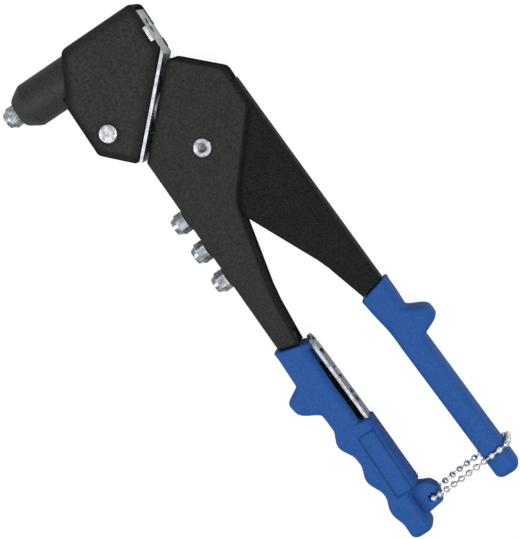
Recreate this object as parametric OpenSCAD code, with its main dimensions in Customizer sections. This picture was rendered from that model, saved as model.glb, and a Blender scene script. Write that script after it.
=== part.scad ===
// Swivel-head hand riveter lying on its side: fixed handle, lever, turning head,
// pull linkage, jaws, spare nosepieces, spanner and a chain loop that holds it shut.
// Sizes are in millimetres. Shapes are drawn about the lever pivot, on the mid plane.

/* [Linkage] */
// Lever pivot to the swivel axis
swivel_arm = 14; // [13:0.1:15]
// Lever pivot to the swivel face, along the swivel axis
face_back = 25.1; // [24:0.1:27]
// Lever pivot to the head pin, along the swivel axis
pin_back = 45.2; // [44.5:0.1:47]
// Head pin to the swivel axis
rocker_arm = 16.4; // [16:0.1:17.5]
// Head pin to the barrel axis
jaw_arm = 32.5; // [32:0.1:34]
// Lever angle past rest at which the arms stand square
square_open = 12; // [10:0.5:13]
// Radius of the lever's nose
nose_r = 4; // [3.5:0.1:4.4]
// Radius of the rocker's tips
tip_r = 3; // [2.6:0.1:3.2]

/* [Sheet metal] */
// Steel of the head and the body
sheet = 1.6; // [1.2:0.1:2]
// Steel of the lever
lever_sheet = 2; // [1.6:0.1:2.2]
// Steel of the plated head plate
plate_t = 1.5; // [1.2:0.1:1.8]
// Thickness of the body across both walls
body_w = 18.2; // [17.6:0.1:20]
// Fold radius of the head's spine
head_fold = 4; // [3:0.1:5]
// Fold radius of the body and the lever
body_fold = 2.6; // [2.2:0.1:3.2]

/* [Head] */
// Barrel diameter
barrel_d = 22.8; // [22.2:0.1:24]
// Barrel bore
barrel_bore = 18; // [17.8:0.1:18.4]
// Height of the head's rear edge above the pivot
head_rear = 10.2; // [9:0.1:12]
// Depth of the head's lower edge below the pivot
head_low = 43.4; // [42:0.1:45]
// Depth at which the slanted front edge leaves the spine
head_slant = 30.2; // [26:0.1:32]
// Distance of the head's front flank from the swivel axis
head_flank = 27.6; // [26:0.1:29]
// Depth of the barrel's end face below the pivot
barrel_end = 67; // [66:0.1:70]
// Length of the barrel's cone
barrel_cone = 6.1; // [4:0.1:6.4]
// Diameter of the barrel's end face
barrel_face_d = 15.8; // [14:0.1:17]
// Width of the ear that locks the head plate
ear_w = 7.7; // [6:0.1:9]

/* [Pins] */
// Head pin diameter
head_pin_d = 6; // [5:0.1:6.6]
// Pivot pin diameter
pivot_pin_d = 7; // [6:0.1:7.4]
// Diameter of the pins' heads
pin_head_d = 8.9; // [8:0.1:10]
// Pull rod diameter
rod_d = 7; // [6:0.1:7.2]
// Diameter of the rod's button and of its nut
button_d = 14; // [13.4:0.1:14.2]
// Thickness of the rod's button and of its nut
button_t = 3.5; // [3:0.1:3.8]
// Wall of the nut on the hollow spindle
nut_wall = 1.25; // [1:0.05:1.5]

/* [Nosepieces] */
// Width across the flats
nose_flats = 9.4; // [8.5:0.1:10]
// Length outside the seat
nose_out = 7.4; // [6:0.1:8.4]
// Length of the hexagon
nose_hex = 4.9; // [3:0.1:5.8]
// Diameter of the tip
nose_tip_d = 7.6; // [6.4:0.1:8.4]
// Bore of the fitted nosepiece
nose_bore = 2.9; // [2.4:0.1:3.2]
// Thread diameter
nose_thread = 8; // [7:0.1:8.2]
// Spacing of the spare nosepieces
spare_pitch = 17; // [14:0.1:18]
// Distance of the first spare from the pivot
spare_first = 25; // [22:0.1:27]

/* [Handles] */
// Depth of the body's spine below the pivot
spine_low = 26.8; // [26:0.1:27.6]
// Slope of the spine
spine_tilt = 1.55; // [1:0.05:2]
// Distance of the fixed grip's rim from the pivot
grip_start = 103; // [100:0.5:106]
// Distance of the fixed grip's end from the pivot
grip_end = 215; // [212:0.1:218]
// Thickness of the fixed grip
grip_w = 21.6; // [20.4:0.1:22.4]
// Distance of the lever grip's end from the pivot
lever_end = 211.7; // [209:0.1:215]
// Thickness of the lever grip
lever_grip_w = 20; // [19:0.1:20.4]
// Height of the lever's front end above the pivot
lever_top = 31.1; // [30.4:0.1:32]
// Slope of the lever
lever_slope = 2.6; // [2.2:0.1:3]

/* [Chain] */
// Bead diameter
bead_d = 3.2; // [2.8:0.1:3.3]
// Number of beads
bead_count = 28; // [26:1:28]
// Lean of the chain towards the head
chain_lean = 5.7; // [0:0.1:8]

/* [Clearances] */
// Gap between faces that move past each other
run_gap = 0.3; // [0.25:0.01:0.4]
// Radial clearance of a turning or sliding fit
fit_gap = 0.08; // [0.05:0.01:0.1]
// Radial clearance of a fixed fit
seat_gap = 0.05; // [0.02:0.01:0.08]
// Gap between the lever and the body's walls
side_gap = 0.4; // [0.3:0.05:0.6]

/* [Hidden] */
$fn = 48;
long = 400;
eps = 0.01;
swivel_dir = 45;

// Half widths of the sheet-metal pieces
body_half = body_w / 2;
body_in = body_half - sheet;
lever_half = body_in - side_gap;
lever_in = lever_half - lever_sheet;
head_in = barrel_d / 2 + seat_gap;
head_half = head_in + sheet;
head_w_cut = 2 * head_half + 2;
pin_head_t = 0.9;
pivot_head_t = 1.1;

// Linkage points, with s along the swivel axis and m across it
function on_plane(s, m) = [s * cos(swivel_dir) - m * sin(swivel_dir),
    s * sin(swivel_dir) + m * cos(swivel_dir)];
function polar(r, a) = [r * cos(a), r * sin(a)];
head_pin_at = on_plane(-pin_back, swivel_arm - rocker_arm);
barrel_x = head_pin_at[0] - jaw_arm;
rocker_rest = -square_open * swivel_arm / rocker_arm;
nose_at = polar(swivel_arm, swivel_dir + 90 - square_open);
tip_two = head_pin_at + polar(jaw_arm, 180 + rocker_rest);
nose_s = swivel_arm * sin(square_open);
tip_one_s = -pin_back - rocker_arm * sin(rocker_rest);

// Places along the swivel axis
flange_s = -face_back;
washer_t = 1.1;
plate_s = flange_s - washer_t - run_gap;
head_face_s = plate_s - plate_t;
spindle_flange_t = 2;
ball_d = 3;
ball_s = flange_s + 0.5;
ball_arm = 10.4;
click_t = 0.5;
click_half = body_in - 0.4;
click_s = ball_s + ball_d / 2 + seat_gap;
nut_s = click_s + click_t + run_gap;
nut_t = 4.5;
nut_d = 2 * (body_in - 0.5);
spindle_d = nut_d - 2 * nut_wall;
spindle_end_s = nut_s + nut_t + 0.6;
button_s = nose_s + nose_r + run_gap;
rod_nut_s = tip_one_s - tip_r - run_gap - button_t;
rod_thread_d = rod_d - 1;

// Places along the barrel axis
flange_y = tip_two[1] + tip_r + run_gap;
holder_flange_t = 3;
holder_flange_d = 16;
neck_d = 11;
neck_len = 9.9;
case_len = 11;
case_d = barrel_bore - 2 * fit_gap;
case_top = flange_y - neck_len;
case_low = case_top - case_len;
spigot_d = 13.5;
spigot_len = 4;
pusher_d = 7.2;
exit_d = pusher_d + 0.8;
pusher_bore = 4.8;
collar_d = 12.4;
collar_t = 1.5;
collar_y = flange_y + holder_flange_t + 0.5;
spring_d = 12.4;
spring_wire = 1.4;
spring_turns = 9;
barrel_floor = -barrel_end + 6.5;
barrel_top = -14;
slot_low = tip_two[1] - 15;
nose_tail = 10.4;

// Rocker plates and hub
rocker_in = neck_d / 2 + run_gap;
rocker_out = rocker_in + 2.6;

// Head outline
spine_x = barrel_x - head_half;
head_corner = on_plane(head_face_s, swivel_arm - head_flank);
head_pts = [
    [spine_x, head_rear, 3],
    [spine_x, -head_slant, 4],
    [barrel_x + barrel_d / 2, -head_low, 3],
    [head_corner[0] - (head_low + head_corner[1]), -head_low, 4],
    [head_corner[0], head_corner[1], 2],
    [head_face_s * sqrt(2) - head_rear, head_rear, 2.5]];

// Body outline: swivel face, sloping shoulder, top, concave throat, handle
function spine_at(x) = -spine_low + x * tan(spine_tilt);
throat_end = -13.4;
// Slope of the grips' rims against a square cut
rim_slant = 0.26;
function fixed_rim(y) = grip_start + 5.4 + rim_slant * y;
rim_clear = 0.4;
swivel_foot = (flange_s * sqrt(2) + spine_low) / (1 + tan(spine_tilt));
body_pts = [
    [swivel_foot, spine_at(swivel_foot), 2.5],
    [flange_s * sqrt(2) - 10, 10, 4],
    [-26.3, 29.9, 5],
    [-4.9, 29.9, 2.5],
    [31.1, -0.75, 25],
    [78, -11.4, 60],
    [fixed_rim(throat_end) - rim_clear, throat_end, 0],
    [fixed_rim(spine_at(grip_start)) - rim_clear, spine_at(grip_start), 0]];

// Narrow tongue of the body inside the fixed grip, and of the lever inside its grip
tongue_sheet = 1.6;
tongue_half = body_half - sheet - 0.2;
wall_from = grip_start - 4.6;
tongue_short = 14;
tongue_to = grip_end - tongue_short;
lever_tongue_half = 5.8;
lever_tongue_to = lever_end - tongue_short + 2;
tongue_top = throat_end - 1;
joggle = 2;
tongue_from = wall_from + joggle / 2;

// Lever outline, hooked round the rod's button
function lever_line(x) = lever_top + (x + 19.4) * tan(lever_slope);
lever_rim = 101;
lever_deep = 11.7;
lever_wall = lever_rim - 1.8 - joggle;
function lever_rim_at(y) = lever_rim - rim_slant * (y - 31);
mouth_far = button_s + button_t + 3.1;
lever_pts = [
    [-19.4, lever_line(-19.4), 1],
    [lever_rim_at(lever_line(lever_rim)) - rim_clear, lever_line(lever_rim), 0],
    [lever_rim_at(lever_line(lever_rim) - lever_deep) - rim_clear, lever_line(lever_rim) - lever_deep, 0],
    [78, 17.6, 40],
    [30, -5.6, 12],
    [2, -8, 0],
    [-2, 2, 0],
    on_plane(mouth_far, 3),
    on_plane(mouth_far, 22.8),
    [-19.4, lever_line(-19.4) - 4.8, 2]];

// Grips
lever_stop_at = 125.2;
panel_from = 157.5;
panel_to = 193.2;
panel_low = -15.3;
panel_high = -5.4;
panel_deep = 0.5;
slot_end = 151;
slot_from = 107.5;
slot_floor = -10.6;
rim_pad = -9.5;
ledge_top = -3.9;
lug_half = 5;
lug_at = [202.35, -1];
lug_hole_d = 4.2;
grip_step = 2.2;
lever_step = 2.6;
ring_n = 28;
spanner_t = 1.6;
spanner_w = 13.6;
spanner_from = 103.4;
spanner_tuck = 3;
spanner_tilt = 2.9;

// Chain loop in the plane of the lug
loop_half = lever_grip_w / 2 + bead_d / 2 + run_gap;
loop_top = lever_upper(lug_at[0]) + bead_d / 2 + run_gap;
link_d = 1.1;
sleeve_wall = 0.2;

// Row frame: middle of the part's box, on the surface it lies on
thumb_top = lever_upper(lever_stop_at);
row_shift = [-(spine_x + grip_end) / 2,
    -(thumb_top - barrel_end - nose_out) / 2,
    head_half + pin_head_t];

// Moves a shape drawn about the pivot into the row frame
module placed() {
    translate(row_shift) children();
}

// Turns a shape drawn along z onto the swivel axis, s millimetres from the pivot's foot
module on_swivel(s = 0) {
    translate(polar(swivel_arm, swivel_dir + 90))
        rotate([0, 0, swivel_dir]) translate([s, 0, 0]) rotate([0, 90, 0]) children();
}

// Turns a shape drawn along z onto the barrel axis, pointing to the rear
module on_barrel(y = 0) {
    translate([barrel_x, y, 0]) rotate([-90, 0, 0]) children();
}

// A round bar along z from a to b
module bar(d, a, b) {
    translate([0, 0, a]) cylinder(d = d, h = b - a);
}

// Round bar along z with both edges chamfered
module eased_bar(d, a, b, c) {
    rotate_extrude() polygon([[0, a], [d / 2 - c, a], [d / 2, a + c], [d / 2, b - c],
        [d / 2 - c, b], [0, b]]);
}

// Corner points of an outline, each [x, y, radius], with the radius drawn as an arc
function unit(v) = v / norm(v);
function flat(p) = [p[0], p[1]];
function turn_of(a, b) = let (t = b - a) t > 180 ? t - 360 : t < -180 ? t + 360 : t;
function corner(before, at, after) =
    len(at) < 3 || at[2] == 0 ? [flat(at)] :
    let (u = unit(flat(before) - flat(at)), v = unit(flat(after) - flat(at)),
        half = acos(u * v) / 2,
        mid = flat(at) + unit(u + v) * at[2] / sin(half),
        from = flat(at) + u * at[2] / tan(half) - mid,
        to = flat(at) + v * at[2] / tan(half) - mid,
        start = atan2(from[1], from[0]),
        sweep = turn_of(start, atan2(to[1], to[0])),
        steps = ceil(abs(sweep) / 12))
    [for (i = [0:steps]) mid + polar(at[2], start + sweep * i / steps)];
function rounded(pts) = let (n = len(pts))
    [for (i = [0:n - 1]) each corner(pts[(i + n - 1) % n], pts[i], pts[(i + 1) % n])];

// Two circles joined by their outer tangents
module link(p, r, q, t) {
    along = q - p;
    reach = norm(along);
    heading = atan2(along[1], along[0]);
    lean = acos((r - t) / reach);
    polygon([p + polar(r, heading + lean), p + polar(r, heading - lean),
        q + polar(t, heading - lean), q + polar(t, heading + lean)]);
    translate(p) circle(r);
    translate(q) circle(t);
}

// Outline raised through the full thickness
module prism(pts, half) {
    linear_extrude(2 * half, center = true) polygon(rounded(pts));
}

// Long slab whose edge at x = 0 is a folded edge with both corners rounded
module folded_slab(half, r) {
    rotate([90, 0, 0]) linear_extrude(2 * long, center = true) {
        translate([r, -half]) square([long, 2 * half]);
        translate([0, r - half]) square([long, 2 * (half - r)]);
        for (side = [-1, 1]) translate([r, side * (half - r)]) circle(r);
    }
}

// The same slab one sheet further in
module inner_slab(half, r, t) {
    translate([t, 0, 0]) folded_slab(half - t, r - t);
}

module on_swivel_face(s) {
    rotate([0, 0, swivel_dir]) translate([s, 0, 0]) children();
}

module body_channel() {
    difference() {
        intersection() {
            prism(body_pts, body_half);
            translate([0, -spine_low, 0]) rotate([0, 0, 90 + spine_tilt]) folded_slab(body_half, body_fold);
            on_swivel_face(flange_s) folded_slab(body_half, body_fold);
        }
        intersection() {
            translate([0, -spine_low, 0]) rotate([0, 0, 90 + spine_tilt])
                inner_slab(body_half, body_fold, sheet);
            on_swivel_face(flange_s) translate([sheet, -long, -body_half]) cube([long, 2 * long, body_w]);
        }
    }
}

// Tongue outline, grown by a clearance for the grip's pocket
function tongue_pts(grow) = [
    [tongue_from, spine_at(tongue_from) + 1.8 - grow],
    [tongue_from + 30, -21.8 - grow],
    [tongue_to + grow, -18.4 - grow],
    [tongue_to + grow, tongue_top + grow],
    [tongue_from, tongue_top + grow]];

module tongue() {
    difference() {
        linear_extrude(2 * tongue_half, center = true) polygon(tongue_pts(0));
        translate([0, tongue_sheet, 0])
            linear_extrude(2 * (tongue_half - tongue_sheet), center = true)
                polygon([[grip_start, tongue_pts(0)[0][1]], tongue_pts(0)[1], tongue_pts(0)[2],
                    [tongue_to, 0], [grip_start, 0]]);
    }
}

// Bulkhead at the step from the wide channel in to the narrow tongue
module joggle_wall() {
    low = spine_at(wall_from) + sheet / 2;
    translate([wall_from, low, -body_half + sheet / 2])
        cube([joggle, throat_end - 0.8 - low, 2 * body_half - sheet]);
}

// Place of a spare nosepiece on the spine, pointing out
module spare_place(i) {
    x = spare_first + i * spare_pitch;
    translate([x, spine_at(x), 0]) rotate([90, 0, spine_tilt]) children();
}

boss_t = 1;
boss_d = 11;
spare_tail = 8;

module body_frame() {
    color("#353735") placed() difference() {
        union() {
            body_channel();
            tongue();
            joggle_wall();
            for (i = [0:2]) spare_place(i) bar(boss_d, -sheet / 2, boss_t);
        }
        cylinder(d = pivot_pin_d + 2 * seat_gap, h = body_w + 2, center = true);
        for (i = [0:2]) spare_place(i) bar(nose_thread + 2 * seat_gap, -sheet - 1, boss_t + 1);
        on_swivel(flange_s) bar(spindle_d + 2 * fit_gap, -1, sheet + 1);
        for (side = [-1, 1]) on_swivel(flange_s) translate([0, side * ball_arm, 0])
            bar(ball_d + 2 * fit_gap, -1, sheet + 1);
    }
}

module pivot_pin() {
    color("#8f9396") placed() difference() {
        union() {
            bar(pivot_pin_d, -body_half, body_half);
            for (side = [0, 180]) rotate([side, 0, 0]) translate([0, 0, body_half])
                rotate_extrude() polygon([[0, 0], [pin_head_d / 2, 0],
                    [pin_head_d / 2, pivot_head_t - 0.5], [pin_head_d / 2 - 0.7, pivot_head_t],
                    [0, pivot_head_t]]);
        }
        for (side = [0, 180]) rotate([side, 0, 0])
            bar(pivot_pin_d - 2.6, body_half - 3, body_half + 2);
    }
}

// Smooth step from 0 to 1 between a and b
function ease(x, a, b) = let (t = min(1, max(0, (x - a) / (b - a)))) t * t * (3 - 2 * t);
// Rounded hump of half width w about c
function hump(x, c, w) = abs(x - c) >= w ? 0 : pow(cos(90 * (x - c) / w), 2);
// Broad hump with a flatter crown
function stop(x, c, w) = let (h = hump(x, c, w)) 1 - pow(1 - h, 2.2);

// Edges of the fixed grip: thumb stop and three finger swells at the back
finger_at = [157.3, 179, 198.2];
finger_h = [3.4, 2.8, 2.2];
fixed_stop_at = 129.8;
function fixed_lower(x) = -27 + 3.1 * ease(x, 121, 146) + 0.08 * max(0, min(x, 192) - 146)
    - 8.8 * stop(x, fixed_stop_at, x < fixed_stop_at ? 9 : 10.4)
    - sum([for (i = [0:2]) finger_h[i] * hump(x, finger_at[i], 9.5)]);
function slot_edge(x) = slot_floor + 0.03 * (x - slot_from);
function fixed_upper(x) = let (rim = rim_pad + 0.5) rim
    + (slot_edge(x) - rim) * ease(x, slot_from - 1, slot_from + 1)
    + (ledge_top + 0.032 * (x - slot_end) - slot_edge(x)) * ease(x, slot_end, slot_end + 2)
    - 5.7 * ease(x, 191.3, 194.8);
function sum(v, i = 0) = i >= len(v) ? 0 : v[i] + sum(v, i + 1);

// Edges of the lever grip
function lever_lower(x) = 25.7 + 0.058 * (x - 125) - 1.6 * (1 - ease(x, 103, 127));
function lever_upper(x) = 39.4 + 0.05 * (x - 132) + 0.7 * (1 - ease(x, 108, 120))
    + 10 * stop(x, lever_stop_at, 8.9);

// How far a section draws in on its way round the end
end_r = 3.2;
function drawn_in(x, last) = let (t = max(0, x - last + end_r)) end_r - sqrt(end_r * end_r - t * t);
// Stations along a grip, closer together round its end
function stations(from, last, step) = let (n = ceil((last - end_r - from) / step))
    concat([for (k = [0:n - 1]) from + (last - end_r - from) * k / n],
        [for (a = [0:18:90]) last - end_r + end_r * sin(a)]);

// One ring of a grip: a squarish oval between two edges
function ring(x, lo, hi, half) = [for (i = [0:ring_n - 1])
    let (a = 360 * i / ring_n, c = cos(a), s = sin(a), e = 0.52)
    [x, (lo + hi) / 2 + (hi - lo) / 2 * sign(s) * pow(abs(s), e), half * sign(c) * pow(abs(c), e)]];

// Closed skin through a list of rings
module skin(rings) {
    n = len(rings[0]);
    last = len(rings) - 1;
    sides = [for (k = [0:last - 1]) for (i = [0:n - 1])
        [k * n + i, k * n + (i + 1) % n, (k + 1) * n + (i + 1) % n, (k + 1) * n + i]];
    ends = [[for (i = [n - 1:-1:0]) i], [for (i = [0:n - 1]) last * n + i]];
    polyhedron([for (r = rings) each r], concat(sides, ends), 4);
}

module fixed_grip_form() {
    skin([for (x = stations(grip_start - 3, grip_end, grip_step))
        let (inset = drawn_in(x, grip_end))
        ring(x, fixed_lower(x) + inset, fixed_upper(x) - inset, grip_w / 2 - inset)]);
}

module lug() {
    translate(lug_at) linear_extrude(2 * lug_half, center = true)
        polygon(rounded([[-12.5, -8.2, 0], [-8.8, -1, 1], [-7.2, 2.8, 2.5], [-3.3, 5, 4],
            [4.1, 3.8, 3], [5.9, -7.2, 0]]));
}

// Tilted plane on which the spanner lies, with x still counted from the pivot
module on_spanner() {
    translate([spanner_from, rim_pad, 0]) rotate([0, 0, spanner_tilt])
        translate([-spanner_from, 0, 0]) children();
}

module fixed_grip() {
    color("#325a9b") placed() difference() {
        union() {
            fixed_grip_form();
            lug();
        }
        linear_extrude(2 * (tongue_half + seat_gap), center = true)
            polygon(concat([[tongue_from - 10, tongue_pts(seat_gap)[0][1]]], tongue_pts(seat_gap),
                [[tongue_from - 10, tongue_pts(seat_gap)[4][1]]]));
        linear_extrude(long, center = true) polygon([[grip_start - 20, -40], [fixed_rim(-40), -40],
            [fixed_rim(0), 0], [grip_start - 20, 0]]);
        translate(lug_at) cylinder(d = lug_hole_d, h = grip_w, center = true);
        for (side = [-1, 1]) translate([(panel_from + panel_to) / 2, (panel_low + panel_high) / 2,
            side * (grip_w / 2 - panel_deep + 5)])
            cube([panel_to - panel_from, panel_high - panel_low, 10], center = true);
        on_spanner() translate([slot_end - 1, -seat_gap, -spanner_w / 2 - seat_gap])
            cube([spanner_tuck + 1 + seat_gap, spanner_t + 2 * seat_gap,
                spanner_w + 2 * seat_gap]);
        on_spanner() translate([grip_start - 9, -seat_gap, -spanner_w / 2 - seat_gap])
            cube([slot_from + 9 - grip_start, 4, spanner_w + 2 * seat_gap]);
        translate([slot_from, tongue_top, -tongue_half - seat_gap])
            cube([slot_end - slot_from, 10, 2 * (tongue_half + seat_gap)]);
    }
}

// Flat spanner across the open channel, from the grip's rim to a pocket in the ledge
module spanner() {
    length = slot_end + spanner_tuck - spanner_from;
    color("#b9bcbe") placed() on_spanner() translate([spanner_from, 0, 0]) rotate([-90, 0, 0])
        linear_extrude(spanner_t) difference() {
            union() {
                translate([spanner_w / 2, 0]) circle(d = spanner_w);
                translate([spanner_w / 2, -spanner_w / 2])
                    square([length - spanner_w / 2, spanner_w]);
            }
            translate([spanner_w / 2, 0]) circle(d = nose_flats / cos(30) + 0.3, $fn = 6);
            translate([1.7 * spanner_w, 0]) circle(d = spanner_w - 6, $fn = 6);
            translate([length - spanner_w, 0]) circle(d = spanner_w - 6);
        }
}

// Nosepiece along z: hexagon, cone, threaded shank and jaw-spreading tail
module nosepiece_form(bore, tail) {
    difference() {
        union() {
            cylinder(d = nose_flats / cos(30), h = nose_hex, $fn = 6);
            translate([0, 0, nose_hex])
                cylinder(d1 = nose_flats, d2 = nose_tip_d, h = nose_out - nose_hex);
            bar(nose_thread, -6.4, 0);
            translate([0, 0, -tail]) cylinder(d1 = 4.6, d2 = 6, h = tail - 6.4);
        }
        bar(bore, -tail - 1, nose_out + 1);
    }
}

module nosepiece() {
    color("#a7abb0") placed() on_barrel(-barrel_end) rotate([180, 0, 0])
        nosepiece_form(nose_bore, nose_tail);
}

module spare(i, bore) {
    color("#a7abb0") placed() spare_place(i) translate([0, 0, boss_t])
        nosepiece_form(bore, spare_tail);
}

module spare_nosepiece_1() { spare(0, nose_bore - 0.6); }
module spare_nosepiece_2() { spare(1, nose_bore + 0.4); }
module spare_nosepiece_3() { spare(2, nose_bore + 0.9); }

module swivel_washer() {
    color("#9a9da0") placed() on_swivel(flange_s) difference() {
        bar(spindle_d + 5.2, -washer_t, 0);
        bar(spindle_d + 2 * run_gap, -washer_t - 1, 1);
    }
}

module click_balls() {
    color("#c6c9cb") placed() for (side = [-1, 1])
        on_swivel(ball_s) translate([0, side * ball_arm, 0]) sphere(d = ball_d);
}

// Flat spring that backs the two balls
module click_spring() {
    color("#8d9194") placed() on_swivel(click_s) difference() {
        translate([-click_half, -ball_arm - 2.4, 0])
            cube([2 * click_half, 2 * ball_arm + 4.8, click_t]);
        bar(spindle_d + 2 * run_gap, -1, click_t + 1);
    }
}

ear_at = barrel_x + 3.9;
plate_drop = 0.3;
plate_neck_len = 5;
plate_neck_in = 2;
ear_deep = plate_drop + plate_t;

// Folded head shell with lips along the swivel face and a notch for each ear
module head_housing() {
    lip_fold = 2.4;
    lip_in = head_half - 3.4;
    lip_end = swivel_arm + 22;
    color("#363835") placed() difference() {
        intersection() {
            prism(head_pts, head_half);
            translate([spine_x, 0, 0]) folded_slab(head_half, head_fold);
            on_swivel_face(head_face_s) rotate([0, 0, 180]) folded_slab(head_half, lip_fold);
        }
        intersection() {
            translate([spine_x, 0, 0]) inner_slab(head_half, head_fold, sheet);
            on_swivel_face(head_face_s) rotate([0, 0, 180]) inner_slab(head_half, lip_fold, sheet);
        }
        on_barrel() bar(barrel_d + 2 * seat_gap, -long, barrel_top + seat_gap);
        on_swivel_face(head_face_s) translate([-sheet - 1, -long, -lip_in])
            cube([sheet + 2, 2 * long, 2 * lip_in]);
        translate([ear_at - ear_w / 2 - seat_gap, head_rear - ear_deep - seat_gap, -head_w_cut / 2])
            cube([ear_w + 2 * seat_gap, 2 * ear_deep, head_w_cut]);
        on_swivel_face(head_face_s) translate([-sheet - 1, 0, -head_in])
            translate([0, lip_end, 0]) cube([sheet + 2, long, 2 * head_in]);
        translate(head_pin_at) cylinder(d = head_pin_d + 2 * seat_gap, h = long, center = true);
    }
}

// Plated plate, bent over the swivel face and down between the walls at the rear edge,
// with an ear locked in each wall's notch
module head_plate() {
    low_end = swivel_arm - head_flank + 0.8;
    rear_out = head_rear - plate_drop;
    far = spine_x + head_fold + run_gap;
    neck_x = head_face_s * sqrt(2) - rear_out - plate_neck_len;
    face_half = head_half - 0.6;
    rear_half = head_in - seat_gap;
    color("#c9cccd") placed() difference() {
        union() {
            prism([on_plane(head_face_s, low_end), on_plane(plate_s, low_end),
                [plate_s * sqrt(2) - rear_out, rear_out, 2],
                [head_face_s * sqrt(2) - rear_out, rear_out]], face_half);
            prism([[neck_x, rear_out], [far, rear_out], [far, rear_out - plate_t],
                [neck_x, rear_out - plate_t]], rear_half);
            prism([[plate_s * sqrt(2) - rear_out - 2, rear_out],
                [neck_x - 1, rear_out], [neck_x - 1, rear_out - plate_t],
                [head_face_s * sqrt(2) - rear_out + plate_t, rear_out - plate_t]], rear_half - plate_neck_in);
            translate([ear_at, rear_out - plate_t / 2, 0])
                cube([ear_w, plate_t, 2 * head_half + 0.2], center = true);
        }
        on_swivel() bar(spindle_d + 2 * seat_gap, head_face_s - 1, plate_s + 1);
        for (i = [0:11]) on_swivel(plate_s + 1) rotate([0, 0, 30 * i + 90])
            translate([ball_arm, 0, 0]) sphere(d = ball_d);
        on_barrel() bar(exit_d, rear_out - plate_t - 1, rear_out + 1);
    }
}

// Barrel with a coned nose, a long bore and a side slot for the rocker
module barrel() {
    nose_hole = nose_thread / 2 + seat_gap;
    soft = 1;
    color("#363836") placed() difference() {
        on_barrel() rotate_extrude() polygon([
            [nose_hole, -barrel_end], [barrel_face_d / 2 - soft, -barrel_end],
            [barrel_face_d / 2, -barrel_end + soft],
            [barrel_d / 2 - soft, -barrel_end + barrel_cone - soft],
            [barrel_d / 2, -barrel_end + barrel_cone + soft],
            [barrel_d / 2, barrel_top], [barrel_bore / 2, barrel_top],
            [barrel_bore / 2, barrel_floor], [nose_hole, barrel_floor]]);
        translate([barrel_x, slot_low, -rocker_out - 0.4])
            cube([barrel_d, barrel_top - slot_low + 1, 2 * (rocker_out + 0.4)]);
    }
}

module head_pin() {
    color("#dbdee1") placed() translate(head_pin_at) {
        bar(head_pin_d, -head_half, head_half);
        for (side = [0, 180]) rotate([side, 0, 0]) translate([0, 0, head_half])
            rotate_extrude() polygon([[0, 0], [pin_head_d / 2, 0],
                [pin_head_d / 2, pin_head_t - 0.4], [pin_head_d / 2 - 0.6, pin_head_t],
                [0, pin_head_t]]);
    }
}

module swivel_spindle() {
    color("#9da0a3") placed() on_swivel() difference() {
        union() {
            bar(spindle_d + 5.4, head_face_s - spindle_flange_t, head_face_s);
            bar(spindle_d, head_face_s, spindle_end_s);
        }
        bar(rod_d + 2 * fit_gap, head_face_s - spindle_flange_t - 1, spindle_end_s + 1);
    }
}

// Round nut with four spanner slots
module spindle_nut() {
    color("#9da0a3") placed() on_swivel() difference() {
        eased_bar(nut_d, nut_s, nut_s + nut_t, 0.5);
        bar(spindle_d + 2 * seat_gap, nut_s - 1, nut_s + nut_t + 1);
        for (i = [0:3]) rotate([0, 0, 90 * i + 45]) translate([nut_d / 2, 0, nut_s + nut_t])
            cube([1.6, 2.4, 4], center = true);
    }
}

// Coil from the pusher's collar to the head plate
module jaw_spring() {
    low = collar_y + collar_t + spring_wire / 2 + seat_gap;
    high = head_rear - ear_deep - spring_wire / 2 - seat_gap;
    per_turn = 18;
    sides = 8;
    r = (spring_d - spring_wire) / 2;
    steps = spring_turns * per_turn;
    color("#a3a6a8") placed() on_barrel() skin([for (k = [0:steps])
        let (a = 360 * k / per_turn, y = low + (high - low) * k / steps)
        [for (j = [sides - 1:-1:0]) let (b = 360 * j / sides, q = r + spring_wire / 2 * cos(b))
            [q * cos(a), q * sin(a), y + spring_wire / 2 * sin(b)]]]);
}

// Hook-shaped lever plate, with the nose that pulls the rod
module lever_plate_shape() {
    polygon(rounded(lever_pts));
    circle(8);
    rotate(swivel_dir) link([-2.5, 0], 5.5, [nose_s - 1, swivel_arm - 0.8], nose_r - 1);
    translate(nose_at) circle(nose_r);
}

module on_lever_line() {
    translate([-19.4, lever_top, 0]) rotate([0, 0, lever_slope]) children();
}

module lever_channel() {
    difference() {
        intersection() {
            linear_extrude(2 * lever_half, center = true) lever_plate_shape();
            on_lever_line() rotate([0, 0, -90]) folded_slab(lever_half, body_fold);
        }
        on_lever_line() rotate([0, 0, -90]) inner_slab(lever_half, body_fold, lever_sheet);
    }
}

// Tongue of the lever: a closed box section inside the grip
function lever_tongue_pts(grow) = [
    [lever_wall + joggle / 2, lever_line(lever_rim) - 10.2 - grow],
    [lever_tongue_to + grow, lever_lower(lever_tongue_to) + 2.2 - grow],
    [lever_tongue_to + grow, lever_upper(lever_tongue_to) - 2.2 + grow],
    [lever_wall + joggle / 2, lever_line(lever_rim) - 2.2 + grow]];

module lever_tongue() {
    difference() {
        linear_extrude(2 * lever_tongue_half, center = true) polygon(lever_tongue_pts(0));
        translate([0, -tongue_sheet, 0])
            linear_extrude(2 * (lever_tongue_half - tongue_sheet), center = true)
                polygon([[lever_rim + 1, 0], [lever_tongue_to, 0], lever_tongue_pts(0)[2],
                    [lever_rim + 1, lever_tongue_pts(0)[3][1]]]);
    }
    translate([lever_wall, lever_line(lever_rim) - 10.9, -lever_half + 1])
        cube([joggle, 9.7, 2 * lever_half - 2]);
}

module lever_frame() {
    color("#232624") placed() difference() {
        union() {
            lever_channel();
            lever_tongue();
        }
        cylinder(d = pivot_pin_d + 2 * fit_gap, h = body_w, center = true);
    }
}

module pivot_bush() {
    color("#8b8e90") placed() difference() {
        bar(pivot_pin_d + 4, -lever_in, lever_in);
        bar(pivot_pin_d + 2 * fit_gap, -lever_in - 1, lever_in + 1);
    }
}

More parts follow.
